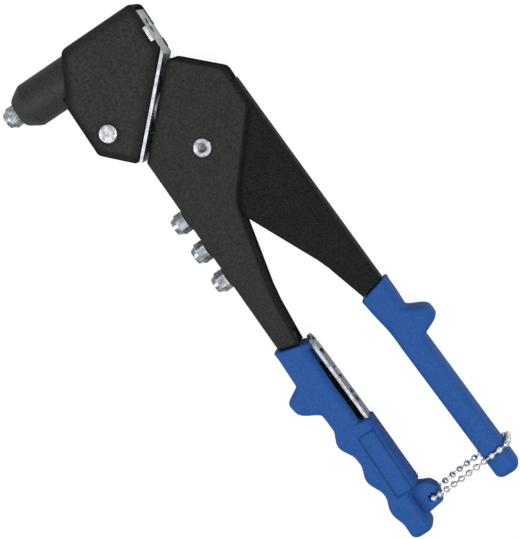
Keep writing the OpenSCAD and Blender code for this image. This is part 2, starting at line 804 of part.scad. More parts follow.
module lever_grip_form() {
    skin([for (x = stations(lever_rim - 5, lever_end, lever_step))
        let (inset = drawn_in(x, lever_end))
        ring(x, lever_lower(x) + inset, lever_upper(x) - inset, lever_grip_w / 2 - inset)]);
}

module lever_grip() {
    color("#325a9b") placed() difference() {
        lever_grip_form();
        linear_extrude(2 * (lever_tongue_half + seat_gap), center = true)
            polygon(concat([[lever_rim - 12, lever_tongue_pts(seat_gap)[0][1]]],
                lever_tongue_pts(seat_gap),
                [[lever_rim - 12, lever_tongue_pts(seat_gap)[3][1]]]));
        linear_extrude(long, center = true) polygon([[lever_rim - 12, 10], [lever_rim_at(10), 10],
            [lever_rim_at(60), 60], [lever_rim - 20, 60]]);
    }
}

module pull_rod() {
    color("#a8abad") placed() on_swivel() {
        bar(rod_d, rod_nut_s + button_t, button_s + eps);
        bar(rod_thread_d, rod_nut_s - 0.8, rod_nut_s + button_t + eps);
        eased_bar(button_d, button_s, button_s + button_t, 0.5);
    }
}

module rod_nut() {
    color("#a8abad") placed() on_swivel() difference() {
        eased_bar(button_d, rod_nut_s, rod_nut_s + button_t, 0.5);
        bar(rod_thread_d + 2 * seat_gap, rod_nut_s - 1, rod_nut_s + button_t + 1);
    }
}

// Side plate of the rocker about the head pin, drawn square and turned to rest
module rocker_plate_shape() {
    rotate(swivel_dir) {
        link([1.5, 0], 5, [1, rocker_arm], tip_r - 1);
        translate([0, rocker_arm]) circle(tip_r);
    }
    link([0, -1], 5.5, [-jaw_arm, -1], tip_r - 1);
    translate([-jaw_arm, 0]) circle(tip_r);
    circle(6.5);
}

module rocker() {
    plate = rocker_out - rocker_in;
    color("#5a5d5f") placed() translate(head_pin_at) rotate([0, 0, rocker_rest]) difference() {
        union() {
            for (side = [-1, 1]) translate([0, 0, side * (rocker_in + rocker_out) / 2])
                linear_extrude(plate, center = true) rocker_plate_shape();
            bar(head_pin_d + 5, -head_in + run_gap, head_in - run_gap);
        }
        cylinder(d = head_pin_d + 2 * fit_gap, h = long, center = true);
    }
}

jaw_wide = spigot_d / 2;
jaw_narrow = 3.6;
cone_len = case_len - spigot_len;

module jaw_case() {
    color("#6d7072") placed() on_barrel() rotate_extrude() polygon([
        [jaw_narrow, case_low], [case_d / 2 - 1, case_low], [case_d / 2, case_low + 1],
        [case_d / 2, case_top], [jaw_wide + seat_gap, case_top],
        [jaw_wide + seat_gap, case_top - spigot_len], [jaw_wide, case_top - spigot_len]]);
}

module jaw_holder() {
    bore = pusher_d / 2 + fit_gap;
    color("#77797b") placed() on_barrel() rotate_extrude() polygon([
        [bore, case_top - spigot_len], [jaw_wide, case_top - spigot_len], [jaw_wide, case_top],
        [neck_d / 2, case_top], [neck_d / 2, flange_y], [holder_flange_d / 2, flange_y],
        [holder_flange_d / 2, flange_y + holder_flange_t], [bore, flange_y + holder_flange_t]]);
}

// Pair of toothed wedges in the case's cone
module jaws() {
    play = 0.15;
    low = case_low + 0.4;
    high = case_top - spigot_len - 1.2;
    grow = (jaw_wide - jaw_narrow) / cone_len;
    teeth = 5;
    tooth = (high - low) / teeth;
    color("#55585a") placed() on_barrel() difference() {
        rotate_extrude() polygon(concat(
            [[jaw_narrow + grow * (low - case_low) - play, low],
                [jaw_narrow + grow * (high - case_low) - play, high]],
            [for (i = [teeth:-1:1]) each [[1.5, low + tooth * i],
                [1.1, low + tooth * (i - 1) + tooth / 4]]], [[1.5, low]]));
        translate([0, 0, (low + high) / 2]) cube([1.2, 2 * case_d, case_len], center = true);
    }
}

module jaw_pusher() {
    low = case_top - spigot_len - 1;
    color("#9b9ea0") placed() on_barrel() difference() {
        union() {
            translate([0, 0, low]) cylinder(d1 = pusher_d - 1.2, d2 = pusher_d, h = 1);
            bar(pusher_d, low + 1, collar_y + collar_t);
            bar(collar_d, collar_y, collar_y + collar_t);
            bar(pusher_d, collar_y, collar_y + 6);
        }
        bar(pusher_bore, low - 1, collar_y + 8);
    }
}

// Loop of the chain in its plane: through the lug, up both sides of the lever, over its back
loop_rise = loop_top - lug_at[1];
lug_out = lug_half + 3.4;
half_loop = [[lug_out, 0, 3], [loop_half, 14, 12], [loop_half, loop_rise, 4]];
loop_pts = rounded(concat(half_loop, [for (i = [2:-1:0]) [-half_loop[i][0], half_loop[i][1],
    half_loop[i][2]]]));
loop_n = len(loop_pts);
loop_at = [for (i = 0, t = lug_out; i <= loop_n;
    t = t + norm(loop_pts[(i + 1) % loop_n] - loop_pts[i % loop_n]), i = i + 1) t];
loop_len = loop_at[loop_n];
bead_pitch = (loop_len - loop_at[0]) / bead_count;
function along_loop(t, axis) = let (u = t < loop_at[0] ? t + loop_len - loop_at[0] : t)
    lookup(u, [for (i = [0:loop_n]) [loop_at[i], loop_pts[i % loop_n][axis]]]);
function on_loop(i) = let (t = (i % bead_count + 0.2) * bead_pitch)
    [lug_at[0] - sin(chain_lean) * along_loop(t, 1), lug_at[1] + cos(chain_lean) * along_loop(t, 1),
        along_loop(t, 0)];

// Round rod between two points
module rod_between(p, q, d) {
    v = q - p;
    translate(p) rotate([0, acos(v[2] / norm(v)), atan2(v[1], v[0])]) cylinder(d = d, h = norm(v), $fn = 16);
}

module ball_chain() {
    color("#c3c6c8") placed() for (i = [0:bead_count - 1]) {
        translate(on_loop(i)) sphere(d = bead_d, $fn = 24);
        rod_between(on_loop(i), on_loop(i + 1), link_d);
    }
}

// Sleeve that joins the chain's ends, on the strand under the lever
module chain_connector() {
    first = bead_count - 9;
    p = on_loop(first);
    q = on_loop(first + 1);
    d = bead_d + 2 * seat_gap;
    over = unit(q - p) * bead_d / 2;
    color("#b4b7b9") placed() difference() {
        rod_between(p - over, q + over, d + 2 * sleeve_wall);
        rod_between(p - 2 * over, q + 2 * over, d);
    }
}

body_frame();
pivot_pin();
fixed_grip();
spanner();
spare_nosepiece_1();
spare_nosepiece_2();
spare_nosepiece_3();
swivel_washer();
click_balls();
click_spring();
head_housing();
head_plate();
barrel();
nosepiece();
head_pin();
swivel_spindle();
spindle_nut();
jaw_spring();
lever_frame();
pivot_bush();
lever_grip();
pull_rod();
rod_nut();
rocker();
jaw_case();
jaw_holder();
jaws();
jaw_pusher();
ball_chain();
chain_connector();
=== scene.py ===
import bpy
import math
import numpy as np
from mathutils import Matrix, Vector


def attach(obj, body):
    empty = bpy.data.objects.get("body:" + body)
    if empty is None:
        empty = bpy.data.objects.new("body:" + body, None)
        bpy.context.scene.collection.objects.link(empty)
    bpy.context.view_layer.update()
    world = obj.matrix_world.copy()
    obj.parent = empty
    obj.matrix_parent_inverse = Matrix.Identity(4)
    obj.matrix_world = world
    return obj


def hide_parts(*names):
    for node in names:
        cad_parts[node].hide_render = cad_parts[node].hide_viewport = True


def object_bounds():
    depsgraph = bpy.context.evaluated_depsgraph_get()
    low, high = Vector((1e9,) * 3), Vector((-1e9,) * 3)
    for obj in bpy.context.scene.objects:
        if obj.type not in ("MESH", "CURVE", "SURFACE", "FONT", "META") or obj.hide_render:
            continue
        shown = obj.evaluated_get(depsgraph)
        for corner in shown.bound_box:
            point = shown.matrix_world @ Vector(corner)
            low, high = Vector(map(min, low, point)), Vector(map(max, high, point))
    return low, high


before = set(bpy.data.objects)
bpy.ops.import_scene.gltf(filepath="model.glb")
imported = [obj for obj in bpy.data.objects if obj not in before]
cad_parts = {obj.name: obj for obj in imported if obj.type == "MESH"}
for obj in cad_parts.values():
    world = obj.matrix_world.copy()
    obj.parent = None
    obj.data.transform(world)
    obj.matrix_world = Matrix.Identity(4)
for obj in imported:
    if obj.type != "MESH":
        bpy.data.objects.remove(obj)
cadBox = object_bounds()
print("frame loaded,", len(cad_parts), "nodes")

mm = 0.001
pivotAt = np.array([-69.5929, 12.67, 13.95])  # lever pivot on the mid plane; grip drawings are measured from it


# Helpers

def linear(hexText):
    # sRGB hex to linear red, green, blue and alpha
    parts = [int(hexText[i:i + 2], 16) / 255 for i in (1, 3, 5)]
    return tuple(c / 12.92 if c <= 0.04045 else ((c + 0.055) / 1.055) ** 2.4 for c in parts) + (1.0,)


def addNode(tree, kind, inputs=None, links=None, **settings):
    # one node with its settings, socket values and incoming links
    node = tree.nodes.new(kind)
    for key, value in settings.items():
        setattr(node, key, value)
    for key, value in (inputs or {}).items():
        node.inputs[key].default_value = value
    for key, socket in (links or {}).items():
        tree.links.new(socket, node.inputs[key])
    return node


def ease(x, a, b):
    # smooth step from 0 at a to 1 at b
    t = np.clip((x - a) / (b - a), 0, 1)
    return t * t * (3 - 2 * t)


def hump(x, centre, width):
    # squared cosine, 1 at the centre and 0 beyond the half width
    return np.where(np.abs(x - centre) < width, np.cos(np.pi / 2 * (x - centre) / width) ** 2, 0)


def broadHump(x, centre, width):
    # the same hump with a flatter crown
    return 1 - (1 - hump(x, centre, width)) ** 2.2


def newMesh(name, parts, material, groove=None):
    # each part is a grid of points (rows, columns, 3) in millimetres from the pivot, with flags for
    # closing it across its rows and its columns and for filling its first and last row; groove marks
    # the first part's points with 0 to 1 for its material
    points, quads, fans, base = [], [], [], 0
    for grid, closeRows, closeColumns, caps in parts:
        rows, columns = grid.shape[:2]
        index = base + np.arange(rows * columns).reshape(rows, columns)
        a = np.vstack([index, index[:1]]) if closeRows else index
        a = np.hstack([a, a[:, :1]]) if closeColumns else a
        quads.append(np.stack([a[:-1, :-1], a[1:, :-1], a[1:, 1:], a[:-1, 1:]], axis=-1).reshape(-1, 4))
        if caps:
            fans += [index[0].tolist(), index[-1][::-1].tolist()]
        points.append(grid.reshape(-1, 3))
        base += rows * columns
    mesh = bpy.data.meshes.new(name)
    mesh.from_pydata(((np.vstack(points) + pivotAt) * mm).tolist(), [], np.vstack(quads).tolist() + fans)
    mesh.polygons.foreach_set("use_smooth", np.full(len(mesh.polygons), True))
    mesh.materials.append(material)
    marks = np.zeros(base)
    if groove is not None:
        marks[:groove.size] = groove.ravel()
    mesh.attributes.new("groove", "FLOAT", "POINT").data.foreach_set("value", marks)
    mesh.update()
    piece = bpy.data.objects.new(name, mesh)
    bpy.context.scene.collection.objects.link(piece)
    return piece


# Materials

noiseCore = (0.36, 0.64)  # the part of a noise's values that is spread over 0 to 1


def startMaterial(name):
    # a new material, its tree, its shader and the socket of object coordinates
    material = bpy.data.materials.new(name)
    material.use_nodes = True
    tree = material.node_tree
    place = addNode(tree, "ShaderNodeTexCoord")
    return material, tree, tree.nodes["Principled BSDF"], place.outputs["Object"]


def noise(tree, place, size, detail=3.0, roughness=0.5):
    # noise with features of about size millimetres
    node = addNode(tree, "ShaderNodeTexNoise",
                   {"Scale": 1 / (size * mm), "Detail": detail, "Roughness": roughness}, {"Vector": place})
    return node.outputs["Fac"]


def remap(tree, value, fromRange=(0, 1), toRange=(0, 1)):
    # straight line from one range to another, clamped
    node = addNode(tree, "ShaderNodeMapRange",
                   {"From Min": fromRange[0], "From Max": fromRange[1],
                    "To Min": toRange[0], "To Max": toRange[1]}, {"Value": value})
    return node.outputs["Result"]


def weigh(tree, first, firstShare, second, secondShare):
    # sum of two values, each times its share
    rest = addNode(tree, "ShaderNodeMath", {1: secondShare}, {0: second}, operation="MULTIPLY")
    both = addNode(tree, "ShaderNodeMath", {1: firstShare}, {0: first, 2: rest.outputs[0]},
                   operation="MULTIPLY_ADD")
    return both.outputs[0]


def mixColour(tree, factor, first, second):
    # from first, a hex colour or a colour socket, to second, a hex colour
    inputs, links = {"B": linear(second)}, {"Factor": factor}
    if isinstance(first, str):
        inputs["A"] = linear(first)
    else:
        links["A"] = first
    return addNode(tree, "ShaderNodeMix", inputs, links, data_type="RGBA").outputs["Result"]


def finishShader(tree, shader, colour, rough, height, strength, depth, normal=None):
    # colour, roughness and a bump of depth millimetres, over a bevel's normal where one is given
    links = {"Height": height}
    if normal is not None:
        links["Normal"] = normal
    bump = addNode(tree, "ShaderNodeBump", {"Strength": strength, "Distance": depth * mm}, links)
    for key, socket in (("Base Color", colour), ("Roughness", rough), ("Normal", bump.outputs["Normal"])):
        tree.links.new(socket, shader.inputs[key])


# the last three entries darken the coat's edges as painted shade
coat = {"grain": 0.95, "mottle": 9.0, "bump": 0.1,  # millimetres
        "strength": 0.55, "speckle": 0.7, "rough": (0.44, 0.62),
        "edgeShadeFrom": (0.998, 0.955), "edgeShade": 0.9, "edgeShadeTone": "#060706"}


def powderCoat(name, dark, light, sheen, bevel):
    # polyester powder coat on folded steel, fine textured: a charcoal black with a dry speckle that
    # breaks up the highlight, and painted shade that darkens the colour towards a near black where the bevel
    # bends the normal over an edge, standing in for rolled edges turned away from the lamps; the real grain of
    # 0.3 mm is drawn at 0.95 mm so that it shows
    material, tree, shader, place = startMaterial(name)
    grain = noise(tree, place, coat["grain"], 2.0, 0.6)
    mottle = noise(tree, place, coat["mottle"])
    tone = weigh(tree, mottle, 1 - coat["speckle"], remap(tree, grain, noiseCore), coat["speckle"])
    # an edge is where the bevel's normal leaves the face's own; there the colour gets painted shade
    edge = addNode(tree, "ShaderNodeBevel", {"Radius": bevel * mm}, samples=8).outputs["Normal"]
    face = addNode(tree, "ShaderNodeNewGeometry").outputs["Normal"]
    bent = addNode(tree, "ShaderNodeVectorMath", {}, {0: edge, 1: face}, operation="DOT_PRODUCT")
    # painted shade: the colour darkens as the bevel's normal bends away from the face's
    edgeShade = remap(tree, bent.outputs["Value"], coat["edgeShadeFrom"], (0, coat["edgeShade"]))
    colour = mixColour(tree, edgeShade, mixColour(tree, tone, dark, light), coat["edgeShadeTone"])
    finishShader(tree, shader, colour, remap(tree, grain, toRange=coat["rough"]), grain,
                 coat["strength"], coat["bump"], edge)
    shader.inputs["Specular IOR Level"].default_value = sheen
    return material


pvc = {"mottle": 6.0, "grain": 0.9, "bump": 0.05,  # millimetres
       "strength": 0.35, "speckle": 0.65, "rough": (0.5, 0.66), "grooveShade": 0.8, "sheen": 0.18}


def dippedPvc(name, deep, pale, line):
    # plastisol PVC dipped over the steel: an even blue with a soft satin gloss, faint clouds in the
    # colour and a skin like fine leather; the skin's real 0.4 mm grain is drawn at 0.9 mm, and painted
    # shade darkens the pressed lines that the mesh marks as groove
    material, tree, shader, place = startMaterial(name)
    cloud = noise(tree, place, pvc["mottle"])
    grain = noise(tree, place, pvc["grain"])
    tone = weigh(tree, cloud, 1 - pvc["speckle"], remap(tree, grain, noiseCore), pvc["speckle"])
    mark = addNode(tree, "ShaderNodeAttribute", attribute_name="groove")
    # painted shade in the pressed grooves: a darker blue where the mesh marks groove
    grooveShade = addNode(tree, "ShaderNodeMath", {1: pvc["grooveShade"]}, {0: mark.outputs["Fac"]}, operation="MULTIPLY")
    colour = mixColour(tree, grooveShade.outputs[0], mixColour(tree, tone, deep, pale), line)
    finishShader(tree, shader, colour, remap(tree, grain, toRange=pvc["rough"]), grain,
                 pvc["strength"], pvc["bump"])
    shader.inputs["Specular IOR Level"].default_value = pvc["sheen"]
    return material


metal = {"patches": 0.7, "strength": 0.4, "glossSpread": 0.25, "middleDarkening": 0.8, "middleTone": "#3f4346"}


def metalFinish(name, dark, light, rough, patch, grain, bevel, stretch=(1, 1, 1), depth=0.012, darkMiddleRadii=None):
    # bare or plated steel: two close greys in drifting patches, with fine lines or grain that vary the
    # gloss; stretch below 1 draws the grain out along that axis into brushed or drawn lines, and the
    # last argument gives two radii about the lever pivot: the colour is darker inside the first and clears by
    # the second
    material, tree, shader, place = startMaterial(name)
    turn = addNode(tree, "ShaderNodeMapping", {"Scale": stretch}, {"Vector": place})
    lines = noise(tree, turn.outputs["Vector"], grain)
    patches = remap(tree, noise(tree, place, patch), noiseCore)
    tone = weigh(tree, patches, metal["patches"], lines, 1 - metal["patches"])
    colour = mixColour(tree, tone, dark, light)
    if darkMiddleRadii:
        away = addNode(tree, "ShaderNodeVectorMath", {1: (pivotAt * mm).tolist()}, {0: place},
                       operation="SUBTRACT")
        flat = addNode(tree, "ShaderNodeVectorMath", {1: (1, 1, 0)}, {0: away.outputs["Vector"]},
                       operation="MULTIPLY")
        far = addNode(tree, "ShaderNodeVectorMath", {}, {0: flat.outputs["Vector"]}, operation="LENGTH")
        middle = remap(tree, far.outputs["Value"], (darkMiddleRadii[1] * mm, darkMiddleRadii[0] * mm), (0, metal["middleDarkening"]))
        colour = mixColour(tree, middle, colour, metal["middleTone"])
    gloss = remap(tree, lines, toRange=(rough * (1 - metal["glossSpread"]), rough * (1 + metal["glossSpread"])))
    edge = addNode(tree, "ShaderNodeBevel", {"Radius": bevel * mm}, samples=6).outputs["Normal"]
    finishShader(tree, shader, colour, gloss, lines, metal["strength"], depth, edge)
    shader.inputs["Metallic"].default_value = 1.0
    return material


# the same coat with a tight or a wide bevel, so a narrow or broad band of painted edge shade, and deeper on the
# lever
blackCoat = powderCoat("blackPowderCoat", "#131513", "#3b3d39", sheen=0.15, bevel=3.6)
headCoat = powderCoat("blackPowderCoatHead", "#161816", "#3f413d", sheen=0.15, bevel=6.5)
barrelCoat = powderCoat("blackPowderCoatBarrel", "#131513", "#3b3d39", sheen=0.3, bevel=1.6)
leverCoat = powderCoat("blackPowderCoatLever", "#070908", "#2b2e2c", sheen=0.06, bevel=0.8)
blueGrip = dippedPvc("bluePvc", "#2255a1", "#3069b8", "#163a72")
# bright zinc plate: pale grey with a cool cast and a soft, slightly cloudy mirror
zinc = metalFinish("zincPlate", "#aeb2b4", "#e9eced", rough=0.3, patch=3.2, grain=0.5, bevel=0.2)
# the same zinc on a blanked spanner: duller, in long streaks
streaked = metalFinish("zincPlateBlanked", "#7d8184", "#b4b8bb", rough=0.34, patch=2.4, grain=0.6, bevel=0.25,
                       stretch=(0.2, 1, 1))
# nickel plate on turned steel: a cloudy grey with fine turning lines
nickel = metalFinish("nickelPlatedSteel", "#55595d", "#bfc3c8", rough=0.3, patch=2.2, grain=0.45, bevel=0.25,
                     stretch=(1, 0.2, 1))
# peened rivet heads: bright zinc in small dents, and on the pivot a middle darker than its rim
peened = metalFinish("peenedZinc", "#909497", "#fafbfc", rough=0.26, patch=1.9, grain=0.4, bevel=0.5, depth=0.05)
dished = metalFinish("dishedZinc", "#909497", "#fafbfc", rough=0.26, patch=1.9, grain=0.4, bevel=0.5, depth=0.05,
                     darkMiddleRadii=(2.0, 3.0))
# stamped bead chain in nickel-plated brass: small bright mirrors
beadSteel = metalFinish("beadChainNickel", "#a4a8ab", "#f2f3f3", rough=0.16, patch=2.0, grain=0.5, bevel=0.1)
# turned steel left bare inside the tool: mid grey, oily sheen
turned = metalFinish("turnedSteel", "#6f7376", "#8f9498", rough=0.34, patch=6.0, grain=0.5, bevel=0.2,
                     stretch=(0.25, 1, 1))
# hardened jaw and ball steel: darker and smoother
hardened = metalFinish("hardenedSteel", "#5b5f62", "#7c8184", rough=0.24, patch=4.0, grain=0.4, bevel=0.1)
# drawn spring wire: dark grey with a fine grain
springWire = metalFinish("springSteelWire", "#565a5c", "#7a7f82", rough=0.3, patch=4.0, grain=0.4, bevel=0.1)

nodeFinish = {
    "body_frame": blackCoat, "head_housing": headCoat, "barrel": barrelCoat, "lever_frame": leverCoat,
    "pivot_pin": dished, "head_pin": peened, "head_plate": zinc, "spanner": streaked, "swivel_washer": turned,
    "nosepiece": nickel, "spare_nosepiece_1": nickel, "spare_nosepiece_2": nickel, "spare_nosepiece_3": nickel,
    "chain_connector": beadSteel, "ball_chain": beadSteel, "pivot_bush": turned, "swivel_spindle": turned,
    "spindle_nut": turned, "pull_rod": turned, "rod_nut": turned, "rocker": hardened, "jaw_case": turned,
    "jaw_holder": turned, "jaws": hardened, "jaw_pusher": turned, "jaw_spring": springWire,
    "click_balls": hardened, "click_spring": springWire}

for nodeName, finish in nodeFinish.items():
    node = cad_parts[nodeName]
    node.data.materials.clear()
    node.data.materials.append(finish)
print("finishes given to", len(nodeFinish), "nodes")


# Grips

def gripStations(g):
    # even stations along the grip, crowded by a cosine into the rounded rim and end
    bend = np.linspace(0, np.pi / 2, 9)[:-1]
    lastBend = np.pi / 2 * 0.985
    front, back = g["rim"] + g["rimRound"], g["end"] - g["endRound"]
    return np.concatenate([g["rim"] + g["rimRound"] * (1 - np.cos(bend)), np.arange(front, back, g["step"]),
                           back + g["endRound"] * np.sin(np.append(bend, lastBend))])


def ringAngles(count, square):
    # angles that space a superellipse's points evenly along its edge
    t = np.linspace(0, 2 * np.pi, 4001)
    y = np.sign(np.sin(t)) * np.abs(np.sin(t)) ** square
    z = np.sign(np.cos(t)) * np.abs(np.cos(t)) ** square
    run = np.concatenate([[0], np.cumsum(np.hypot(np.diff(y), np.diff(z)))])
    return np.interp(np.linspace(0, run[-1], count, endpoint=False), run, t)


def gripShell(x, low, high, g):
    # superellipse sections carried along x: y and z are signed powers of sine and cosine; the rim and
    # the end turn in on quarter circles, and a lip swells at the rim
    front = np.clip((g["rim"] + g["rimRound"] - x) / g["rimRound"], 0, 1)
    back = np.clip((x - g["end"] + g["endRound"]) / g["endRound"], 0, 1)
    inset = (g["rimRound"] * (1 - np.sqrt(1 - front ** 2)) + g["endRound"] * (1 - np.sqrt(1 - back ** 2))
             - g["lip"] * hump(x, g["rim"], g["lipRun"]))
    low, high, half = low + inset, high - inset, g["width"] / 2 - inset
    angles = ringAngles(g["around"], g["square"])
    c, s = np.cos(angles), np.sin(angles)
    y = (low + high)[:, None] / 2 + ((high - low) / 2)[:, None] * np.sign(s) * np.abs(s) ** g["square"]
    z = half[:, None] * np.sign(c) * np.abs(c) ** g["square"]
    return np.stack([np.broadcast_to(x[:, None], y.shape), y, z], axis=-1).copy()


def leanRim(shell, g):
    # stations lean with the height at the rim, less and less along the grip
    fade = 1 - ease(shell[..., 0], g["rim"], g["rim"] + g["leanRun"])
    shell[..., 0] += g["rimSlant"] * (shell[..., 1] - g["rimY"]) * fade


# Fixed grip

fixedGrip = {
    "rim": 104.0, "rimSlant": 0.26, "rimY": -17.0, "leanRun": 22.0, "rimRound": 1.3, "lip": 0.35, "lipRun": 4.0,
    "end": 215.0, "endRound": 3.2, "width": 21.6, "square": 0.52, "around": 150, "step": 0.45,
    "back": -27.0, "backRise": 3.1, "riseX": (121.0, 146.0), "backSlope": 0.08, "slopeEnd": 192.0,
    "stopAt": 129.8, "stopHigh": 8.8, "stopHalf": (9.0, 10.4),
    "fingerAt": (157.3, 179.0, 198.2), "fingerHigh": (3.4, 2.8, 2.2), "fingerHalf": 9.5,
    "rimPad": -9.5, "rimOver": 0.5, "padHalf": 6.9, "padTilt": 2.9, "padFrom": 103.4, "padSink": 0.05,
    "slotFrom": 107.5, "slotEnd": 151.0, "slotFloor": -10.6, "slotSlope": 0.03, "slotDeep": -14.2,
    "slotHalf": 7.3, "slotEdge": 0.3, "skin": 0.5, "liningFrom": 118.5,
    "ledge": -3.9, "ledgeSlope": 0.032, "drop": 5.7, "dropX": (191.3, 194.8),
    "panelX": (157.5, 193.2), "panelY": (-15.3, -5.4), "flankFrom": 8.0,
    "panelDeep": 0.3, "panelEdge": 0.7, "panelGroove": 0.3, "grooveHalf": 0.8}


def fixedLower(x):
    # straight back edge with a thumb stop and three finger swells
    g = fixedGrip
    low = (g["back"] + g["backRise"] * ease(x, *g["riseX"])
           + g["backSlope"] * np.maximum(0, np.minimum(x, g["slopeEnd"]) - g["riseX"][1]))
    low = low - g["stopHigh"] * broadHump(x, g["stopAt"], np.where(x < g["stopAt"], *g["stopHalf"]))
    return low - sum(h * hump(x, at, g["fingerHalf"]) for at, h in zip(g["fingerAt"], g["fingerHigh"]))


def fixedUpper(x):
    # rim pad, floor of the spanner's slot, ledge, and the drop to the lug
    g = fixedGrip
    rim = g["rimPad"] + g["rimOver"]
    slot = g["slotFloor"] + g["slotSlope"] * (x - g["slotFrom"])
    ledge = g["ledge"] + g["ledgeSlope"] * (x - g["slotEnd"])
    return (rim + (slot - rim) * ease(x, g["slotFrom"] - 1, g["slotFrom"] + 1)
            + (ledge - slot) * ease(x, g["slotEnd"], g["slotEnd"] + 2) - g["drop"] * ease(x, *g["dropX"]))


def cutSlot(shell, x):
    # the points on top between the slot's walls move to its walls and floor; they are picked at a
    # station inside the slot
    g = fixedGrip
    station, topFrom, wall = 120, -15, 5
    top = np.flatnonzero((np.abs(shell[station, :, 2]) < g["slotHalf"]) & (shell[station, :, 1] > topFrom))
    order = top[np.argsort(-shell[station, top, 2])]
    k = np.arange(len(top))
    across = np.clip((k - wall) / (len(top) - 1 - 2 * wall), 0, 1)
    down = np.clip(np.minimum(k, k[::-1]) / wall, 0, 1)
    edge = g["slotEdge"]
    share = (ease(x, g["slotFrom"] - edge, g["slotFrom"] + edge)
             * (1 - ease(x, g["slotEnd"] - edge, g["slotEnd"] + edge)))[:, None]
    shell[:, order, 2] += share * (g["slotHalf"] * (1 - 2 * across) - shell[:, order, 2])
    shell[:, order, 1] += share * ((g["slotDeep"] - shell[:, order, 1]) * down)


def seatSpanner(shell, x):
    # the rim's top is planed down to the spanner's underside
    g = fixedGrip
    pad = g["rimPad"] - g["padSink"] + np.tan(np.radians(g["padTilt"])) * (x - g["padFrom"])
    seat = (x < g["slotFrom"] - g["slotEdge"])[:, None] & (np.abs(shell[..., 2]) < g["padHalf"])
    shell[..., 1] = np.where(seat, np.minimum(shell[..., 1], pad[:, None]), shell[..., 1])


def pressPanel(shell):
    # both flanks are pressed in by a box with soft edges, deepest in a groove along its border
    g = fixedGrip
    inside = np.minimum.reduce([shell[..., 0] - g["panelX"][0], g["panelX"][1] - shell[..., 0],
                                shell[..., 1] - g["panelY"][0], g["panelY"][1] - shell[..., 1]])
    flank = np.abs(shell[..., 2]) > g["flankFrom"]
    line = hump(inside, g["panelEdge"], g["grooveHalf"]) * flank
    press = g["panelDeep"] * ease(inside, 0, g["panelEdge"]) * flank + g["panelGroove"] * line
    shell[..., 2] -= np.sign(shell[..., 2]) * press
    return line


def lineSlot(piece):
    # the slot shows the steel channel inside the grip, so its walls and floor get the coat
    g = fixedGrip
    faces = piece.data.polygons
    centre = np.empty(len(faces) * 3)
    faces.foreach_get("center", centre)
    fx, fy, fz = (centre.reshape(-1, 3) / mm - pivotAt).T
    beside, under = 0.1, 0.5
    lining = ((fx > g["liningFrom"]) & (fx < g["slotEnd"]) & (np.abs(fz) < g["slotHalf"] + beside)
              & (fy < fixedUpper(fx) - g["skin"]) & (fy > g["slotDeep"] - under))
    piece.data.materials.append(leverCoat)
    faces.foreach_set("material_index", lining.astype(np.int32))


def buildFixedGrip():
    x = gripStations(fixedGrip)
    shell = gripShell(x, fixedLower(x), fixedUpper(x), fixedGrip)
    cutSlot(shell, x)
    seatSpanner(shell, x)
    line = pressPanel(shell)
    leanRim(shell, fixedGrip)
    piece = newMesh("fixedGrip", [(shell, False, True, True), buildLug()], blueGrip, line)
    lineSlot(piece)
    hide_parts("fixed_grip")
    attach(piece, "fixed_handle")


lug = {"hole": (202.35, -1.0), "holeR": 2.1, "mouth": 0.5, "half": 5.0, "round": 0.9, "around": 96,
       "corner": 2.2, "samples": 1200, "bendSteps": 6,
       "outline": ((-13.5, -11), (-12.5, -8.2), (-8.8, -1.0), (-7.2, 2.8), (-3.3, 5.0), (4.1, 3.8),
                   (5.9, -7.2), (4.5, -11))}


def lugReach(phi):
    # distance from the hole to the outline along each angle; the outline's corners are rounded by a
    # Gaussian window that runs along it
    path = np.array(lug["outline"], float)
    path = np.vstack([path, path[:1]])
    run = np.concatenate([[0], np.cumsum(np.hypot(*np.diff(path, axis=0).T))])
    count, reach = lug["samples"], 90
    s = np.linspace(0, run[-1], count, endpoint=False)
    away = np.arange(-reach, reach + 1) * run[-1] / count
    spread = lug["corner"] * 0.42
    window = np.exp(-0.5 * (away / spread) ** 2)
    window /= window.sum()
    laps = [np.tile(np.interp(s, run, path[:, i]), 3) for i in (0, 1)]
    x, y = [np.convolve(lap, window, "same")[count:2 * count] for lap in laps]
    turn = np.unwrap(np.arctan2(y, x)) % (2 * np.pi)
    order = np.argsort(turn)
    return np.interp(phi, turn[order], np.hypot(x, y)[order], period=2 * np.pi)


def buildLug():
    # rings round the hole: each angle's ray meets the outline, and a closed profile runs from the
    # outline over the rounded edge to the bore and back along the other face
    hx, hy = lug["hole"]
    phi = np.linspace(0, 2 * np.pi, lug["around"], endpoint=False)
    n, r, h, mouth = lug["bendSteps"], lug["round"], lug["half"], lug["mouth"]
    bend = np.linspace(0, np.pi / 2, n)
    inward = np.concatenate([r * (1 - np.cos(bend)), np.full(n, r)])
    share = np.concatenate([np.zeros(n), np.linspace(0.15, 1, n)])
    height = np.concatenate([h - r + r * np.sin(bend), np.full(n, h)])
    side = (lugReach(phi)[:, None] - inward) * (1 - share) + (lug["holeR"] + mouth) * share
    bore = lug["holeR"] + mouth * (1 - np.sin(bend[1:]))
    boreZ = h - mouth * (1 - np.cos(bend[1:]))
    radius = np.hstack([side, np.broadcast_to(bore, (len(phi), len(bore)))])
    z = np.concatenate([height, boreZ])
    radius = np.hstack([radius, radius[:, ::-1]])
    z = np.concatenate([z, -z[::-1]])
    grid = np.stack([hx + radius * np.cos(phi)[:, None], hy + radius * np.sin(phi)[:, None],
                     np.broadcast_to(z, radius.shape)], axis=-1)
    return grid, True, True, False


# Lever grip

leverGrip = {
    "rim": 101.05, "rimSlant": -0.26, "rimY": 31.0, "leanRun": 22.0, "rimRound": 1.3, "lip": 0.35, "lipRun": 4.0,
    "end": 211.7, "endRound": 3.2, "width": 20.0, "square": 0.52, "around": 130, "step": 0.5,
    "low": 25.7, "lowAt": 125.0, "lowSlope": 0.058, "flare": 1.6, "flareX": (103.0, 127.0),
    "high": 39.4, "highAt": 132.0, "highSlope": 0.05, "swell": 0.7, "swellX": (108.0, 120.0),
    "stopAt": 125.2, "stopHigh": 9.95, "stopHalf": 8.9}


